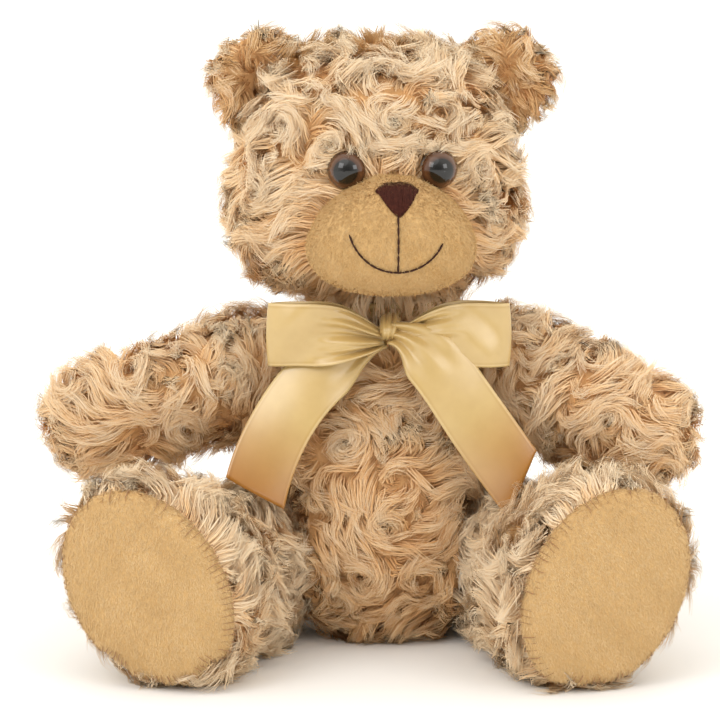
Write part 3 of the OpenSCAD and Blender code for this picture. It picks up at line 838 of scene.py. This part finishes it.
def mouth():
    """A stitched line down from the nose, and a smile in short stitches."""
    thread = cloth(
        "mouth_thread", [(0.3, (0.035, 0.014, 0.010)), (0.7, (0.06, 0.026, 0.018))], 900.0, 0.7, sheen=0.0,
        specular=0.1,
    )
    radius = 20.2 * MM
    middle = (box_of("nose") @ FACE_RIGHT).mean() + 0.2 * MM
    level = box_of("mouth_stitches")[0, 2] + 0.6 * MM + radius
    nose_tip = box_of("nose")[0, 2]
    lines = []
    angles = np.radians(np.linspace(-73, 62, 15))
    smile = [(middle + radius * 0.96 * math.sin(a), level - radius * math.cos(a)) for a in angles]
    line = [(middle - 0.3 * MM * math.sin(z), z) for z in np.linspace(nose_tip + 1 * MM, level - radius, 7)]
    for course, steps in ((smile, 5), (line, 4)):
        for (x0, z0), (x1, z1) in zip(course, course[1:]):
            stitch = []
            for t in np.linspace(-0.12, 1.12, steps):
                dip = 0.25 * MM * math.sin(math.pi * min(max(t, 0), 1)) + 0.55 * MM
                stitch.append(on_face(x0 + (x1 - x0) * t, z0 + (z1 - z0) * t, dip))
            lines.append(stitch)
    piece = threads("mouth_stitching", lines, 0.42 * MM, thread, "head")
    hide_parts("mouth_stitches")


def set_materials(node, material):
    """Puts one material on a CAD node, whose mesh stays as it is."""
    shown = frame["nodes"][node]
    for slot in shown.material_slots:
        slot.material = material
    if not shown.material_slots:
        shown.data.materials.append(material)


def eyes():
    """A brown dome that darkens to a black pupil, glossy as a safety eye is."""
    for side in SIDES:
        middle = box_mid(f"eye_lens_{side}")
        axis = unit(middle - box_mid(f"eye_washer_{side}"))
        material, graph, shader = node_material(
            f"eye_{side}", Roughness=0.12, Specular_IOR_Level=0.3, Coat_Weight=0.7, Coat_Roughness=0.015
        )
        place = add_node(graph, "ShaderNodeTexCoord").outputs["Object"]
        kind = "ShaderNodeVectorMath"
        offset = add_node(graph, kind, {0: place, 1: middle}, operation="SUBTRACT")
        swept = add_node(graph, kind, {0: offset.outputs[0], 1: axis}, operation="CROSS_PRODUCT")
        reach = add_node(graph, kind, {0: swept.outputs[0]}, operation="LENGTH").outputs["Value"]
        share = add_node(graph, "ShaderNodeMath", {0: reach, 1: 1 / EYE_RADIUS}, operation="MULTIPLY")
        rings = [
            (0.0, (0.004, 0.0035, 0.003)), (0.60, (0.004, 0.0035, 0.003)), (0.66, (0.055, 0.020, 0.008)),
            (0.80, (0.115, 0.045, 0.018)), (0.93, (0.07, 0.026, 0.011)), (1.0, (0.02, 0.009, 0.005)),
        ]
        graph.links.new(ramp(graph, share.outputs[0], rings), shader.inputs["Base Color"])
        bump(graph, shader, noise(graph, 90.0, 1.0), 0.02, 0.1 * MM)
        set_materials(f"eye_lens_{side}", material)
        set_materials(f"eye_pupil_stem_{side}", eye_black)


def moulded(name, colour, roughness):
    """Moulded plastic: nearly even, with a faint orange peel."""
    material, graph, shader = node_material(name, Roughness=roughness, Specular_IOR_Level=0.45)
    darker = tuple(0.9 * c for c in colour)
    mottled = ramp(graph, noise(graph, 140.0, 4.0), [(0.35, darker), (0.65, colour)])
    graph.links.new(mottled, shader.inputs["Base Color"])
    bump(graph, shader, noise(graph, 1400.0, 2.0), 0.15, 0.05 * MM)
    return material


eye_black = moulded("eye_black", (0.012, 0.011, 0.010), 0.2)
hardware = moulded("joint_plastic", (0.80, 0.79, 0.76), 0.45)
for node in frame["nodes"]:
    if any(word in node for word in ("_disc", "_ring", "_washer")):
        set_materials(node, hardware)
nose()
mouth()
eyes()

# ---------------------------------------------------------------- satin ribbon

RIBBON_HALF = 12.5 * MM
knot_mid = box_mid("bow_knot")


def satin(name, end_shade):
    """Gold satin: a sheen along the threads, a fine weave, paler selvedges, and a painted shade that darkens
    the colour toward the far end.
    """
    material, graph, shader = node_material(
        name, Roughness=0.26, Specular_IOR_Level=0.9, Anisotropic=0.6, Sheen_Weight=0.2, Sheen_Roughness=0.3,
        Coat_Weight=0.2, Coat_Roughness=0.32,
    )
    shader.inputs["Sheen Tint"].default_value = (1.0, 0.86, 0.6, 1)
    place = add_node(graph, "ShaderNodeUVMap").outputs["UV"]
    across = add_node(graph, "ShaderNodeSeparateXYZ", {0: place})
    gold, deep, pale = (0.59, 0.41, 0.16), (0.53, 0.35, 0.12), (0.64, 0.46, 0.20)
    edges = [
        (0.0, pale), (0.035, pale), (0.05, deep), (0.09, gold),
        (0.91, gold), (0.95, deep), (0.965, pale), (1, pale),
    ]
    colour = ramp(graph, across.outputs["Y"], edges)
    mottle = ramp(graph, noise(graph, 160.0, 3.0), [(0.3, (0.94, 0.93, 0.90)), (0.7, (1, 1, 1))])
    painted_end_shade = ramp(graph, across.outputs["X"], [(0.58, (1, 1, 1)), (1.0, end_shade)])
    colour = multiplied(graph, multiplied(graph, colour, mottle), painted_end_shade)
    graph.links.new(colour, shader.inputs["Base Color"])
    weave = add_node(graph, "ShaderNodeTexWave", {"Scale": 900.0, "Distortion": 0.6, "Vector": place})
    bump(graph, shader, weave.outputs["Fac"], 0.12, 0.03 * MM)
    return material


satin_even = satin("satin", (1, 1, 1))
# The tails darken toward their ends, a painted shade
satin_tail = satin("satin_tail", (0.70, 0.42, 0.16))


def ribbon_piece(name, grid, replaces, closed=False):
    """A ribbon from a grid of points, n along it by m across it."""
    n, m, _ = grid.shape
    index = np.arange(n * m).reshape(n, m)
    rows = np.arange(n if closed else n - 1)
    a, b = index[rows], index[(rows + 1) % n]
    quads = np.stack([a[:, :-1], b[:, :-1], b[:, 1:], a[:, 1:]], axis=-1).reshape(-1, 4)
    uv = np.stack(np.broadcast_arrays(np.linspace(0, 1, n)[:, None], np.linspace(0, 1, m)[None]), axis=-1)
    look = satin_tail if "tail" in name else satin_even
    piece = new_piece(name, grid.reshape(-1, 3), quads, [look], "torso", uv=uv.reshape(-1, 2))
    solid = piece.modifiers.new("Thickness", "SOLIDIFY")
    solid.thickness, solid.offset = 0.3 * MM, 0
    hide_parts(*replaces)


def bow_loop(side, sign):
    """A loop of ribbon: out along its front, round a soft fold, and back behind."""
    node = f"bow_loop_{side}"
    low, high = box_of(node)
    reach = (high[0] if sign > 0 else -low[0]) - sign * knot_mid[0]
    level = (low[2] + high[2]) / 2
    w = np.linspace(0, 1, 61)
    out = 1 - np.abs(2 * w - 1)
    u = np.sin(out * math.pi / 2) ** 0.9
    front = np.where(w < 0.5, -1.0, 1.0)
    v = np.linspace(-1, 1, 33)[None]
    half = 3.0 * MM + (RIBBON_HALF - 3.0 * MM) * np.sin(np.minimum(1, u / 0.6) * math.pi / 2)
    belly = (1.2 * MM + 4.4 * MM * smooth(u / 0.45)) * np.sqrt(np.maximum(0, 1 - u**5))
    fade = smooth(u / 0.05) * (1 - smooth((u - 0.1) / 0.55))
    u, front, half, belly, fade = (x[:, None] for x in (u, front, half, belly, fade))
    grid = np.empty((len(w), v.shape[1], 3))
    folds = np.cos(2.5 * math.pi * v + 0.9 * sign + 1.5 * u) + 0.45 * np.cos(6.0 * math.pi * v + 1.1)
    lag = 0.8 * MM * smooth((u - 0.75) / 0.25)
    grid[..., 0] = knot_mid[0] + sign * (1.8 * MM + (reach - 1.8 * MM) * u - lag * v**2)
    soft = 1.6 * MM * np.sin(2.2 * v + 6.5 * u + 1.2 * sign) * smooth(u / 0.4)
    soft = soft * (1 - 0.7 * smooth((u - 0.8) / 0.2))
    grid[..., 1] = low[1] / 2 + high[1] / 2 + front * belly + 2.9 * MM * fade * folds + soft
    sag = -0.8 * MM - 1.9 * MM * (1 - smooth(u / 0.4)) - 0.5 * MM * (front > 0)
    grid[..., 2] = level + sag + half * v + 0.5 * MM * np.sin(3 * u)
    ribbon_piece(f"ribbon_{node}", grid, [node])


def bezier(points, t):
    a, b, c, d = (np.array(p, dtype=float) for p in points)
    t = t[:, None]
    return a * (1 - t) ** 3 + 3 * b * t * (1 - t) ** 2 + 3 * c * t**2 * (1 - t) + d * t**3


def bow_tail(side, sign, course, slant, twist, spread_by):
    """A tail that hangs from the knot over the chest, with its end cut at a slant."""
    node = f"bow_tail_{side}"
    fine = bezier([np.array(p) * MM for p in course], np.linspace(0, 1, 200))
    travelled = np.concatenate([[0], np.cumsum(np.linalg.norm(np.diff(fine, axis=0), axis=1))])
    total = travelled[-1]
    point_at = lambda x: np.array([np.interp(x, travelled, fine[:, k]) for k in range(3)])
    s = np.linspace(0, 1, 47)
    v = np.linspace(-1, 1, 25)
    half = 4.6 * MM + (RIBBON_HALF - 4.6 * MM) * smooth(s / spread_by)
    grid = np.empty((len(s), len(v), 3))
    for i, share in enumerate(s):
        for j, cross in enumerate(v):
            at = share * (total - cross * math.tan(math.radians(slant)) * half[i] * share**3)
            over = max(0.0, at - total)
            ahead = fine[-1] - fine[-8] if over else point_at(at + 0.5 * MM) - point_at(at - 0.5 * MM)
            tangent = unit(ahead)
            spot = point_at(at) + tangent * over
            angle = math.radians(twist) * math.sin(math.pi * share)
            facing = unit(np.array((sign * math.sin(angle), -math.cos(angle), 0.12)))
            width = unit(np.cross(facing, tangent)) * sign
            facing = unit(np.cross(tangent, width)) * sign
            pleat = 1.6 * MM * (1 - smooth(share / 0.4)) * math.cos(2.6 * math.pi * cross + 0.5)
            wave = 1.5 * MM * math.sin(2.3 * math.pi * share + 0.9 * cross + sign) * smooth(share / 0.5)
            hollow = 1.2 * MM * (cross**2 - 0.4) * smooth(share / 0.3)
            grid[i, j] = spot + width * cross * half[i] + facing * (pleat + wave - hollow)
    ribbon_piece(f"ribbon_{node}", grid, [node])


def bow_knot():
    """The short wrap that holds the bow, with its folds running up and down."""
    low, high = box_of("bow_knot")
    size = (high - low) / 2
    n, v = 60, np.linspace(-1, 1, 21)
    a = np.linspace(0, 2 * math.pi, n, endpoint=False)[:, None]
    girth = 1 - 0.30 * np.abs(v) ** 3.0
    fold = 0.45 * MM * np.cos(3.5 * math.pi * v + 0.6 * np.sin(a)) + 0.2 * MM * np.cos(8 * v + 2)
    grid = np.empty((n, len(v), 3))
    grid[..., 0] = knot_mid[0] + 3.5 * MM * v * (1 + 0.15 * np.sin(a)) + 0.7 * MM * np.sin(a)
    grid[..., 1] = knot_mid[1] - (size[1] * 1.15 * girth + fold) * np.cos(a) - 1.6 * MM
    grid[..., 2] = knot_mid[2] + (size[2] * 0.98 * girth + fold) * np.sin(a)
    ribbon_piece(
        "ribbon_bow_knot", grid, ["bow_knot"], closed=True,
    )


def neck_band():
    """The ribbon round the neck, gathered into soft pleats."""
    low, high = box_of("ribbon_band")
    radius, half = (high[0] - low[0]) / 2, (high[2] - low[2]) / 2
    n, v = 120, np.linspace(-1, 1, 17)
    a = np.linspace(0, 2 * math.pi, n, endpoint=False)[:, None]
    fold = 0.55 * MM * np.cos(2.6 * math.pi * v + 1.2 * np.sin(2 * a)) + 0.25 * MM * np.sin(5 * a + 3 * v)
    grid = np.empty((n, len(v), 3))
    grid[..., 0] = (low[0] + high[0]) / 2 + (radius - 0.5 * MM + fold) * np.cos(a)
    grid[..., 1] = (low[1] + high[1]) / 2 + (radius - 0.5 * MM + fold) * np.sin(a)
    grid[..., 2] = (low[2] + high[2]) / 2 + half * v + 0.5 * MM * np.sin(3 * a)
    ribbon_piece(
        "ribbon_neck_band", grid, ["ribbon_band"],
        closed=True,
    )


neck_band()
for side, sign in zip(SIDES, (1, -1)):
    bow_loop(side, sign)
# Each course is four Bezier points in millimetres, from the knot to the middle of the cut end
bow_tail(
    "left", 1, [(3, -49, 129), (20, -58, 129), (28, -59, 106), (54.5, -60, 71)], 30, 14, 0.27,
)
bow_tail(
    "right", -1, [(1, -45, 127), (-20, -42, 121), (-43, -58, 100), (-50, -60, 67)], 16, 10, 0.34,
)
bow_knot()

# ---------------------------------------------------------------- camera, floor and light


def aimed(name, data, place, way):
    """A lamp or camera at a place, looking along a direction."""
    made = placed(name, data)
    made.location = place
    made.rotation_euler = way.to_track_quat("-Z", "Y").to_euler()
    return made


def add_light(name, kind, place, way, **settings):
    light = bpy.data.lights.new(name, kind)
    for key, value in settings.items():
        setattr(light, key, value)
    aimed(name, light, place, way)


def camera():
    elevation, distance = math.radians(10), 1.5
    target = Vector((-0.0088, -0.020, 0.1132))
    lens = bpy.data.cameras.new("camera")
    lens.lens, lens.sensor_width = 187.5, 36
    place = target + distance * Vector((0, -math.cos(elevation), math.sin(elevation)))
    bpy.context.scene.camera = aimed("camera", lens, place, target - place)


def studio():
    material, graph, shader = node_material("floor_paper", Roughness=0.9, Specular_IOR_Level=0.1)
    shader.inputs["Base Color"].default_value = (0.95, 0.95, 0.95, 1)
    bump(graph, shader, noise(graph, 60.0), 0.05, 0.5 * MM)
    reach = 30.0
    floor = new_piece(
        "floor", [(-reach, -reach, 0), (reach, -reach, 0), (reach, reach, 0), (-reach, reach, 0)],
        [(0, 1, 2, 3)], [material], None,
    )
    world = bpy.data.worlds.new("studio")
    world.use_nodes = True
    graph = world.node_tree
    place = add_node(graph, "ShaderNodeTexCoord").outputs["Generated"]
    way = add_node(graph, "ShaderNodeSeparateXYZ", {0: place})
    behind_camera = add_node(
        graph, "ShaderNodeMapRange", {"Value": way.outputs["Y"], "From Min": -0.97, "From Max": -0.6}
    )
    front = ramp(graph, behind_camera.outputs[0], [(0.0, (0.32, 0.31, 0.29)), (1.0, (1.0, 0.97, 0.90))])
    graph.links.new(front, graph.nodes["Background"].inputs["Color"])
    graph.nodes["Background"].inputs["Strength"].default_value = 1.28
    bpy.context.scene.world = world
    add_light("sun", "SUN", (0, 0, 0), Vector((0.45, 0.8, -1.1)), energy=0.4, angle=math.radians(50))
    chest = Vector((0, 0, 0.12))
    lamps = (("key", (-1.0, -1.2, 1.0), 0.8, 5.5), ("fill", (1.1, -1.1, 0.7), 0.6, 3.5))
    for name, place, size, power in lamps:
        add_light(name, "AREA", place, chest - Vector(place), shape="SQUARE", size=size, energy=power)
    bpy.context.scene.view_settings.view_transform = "Standard"


camera()
studio()
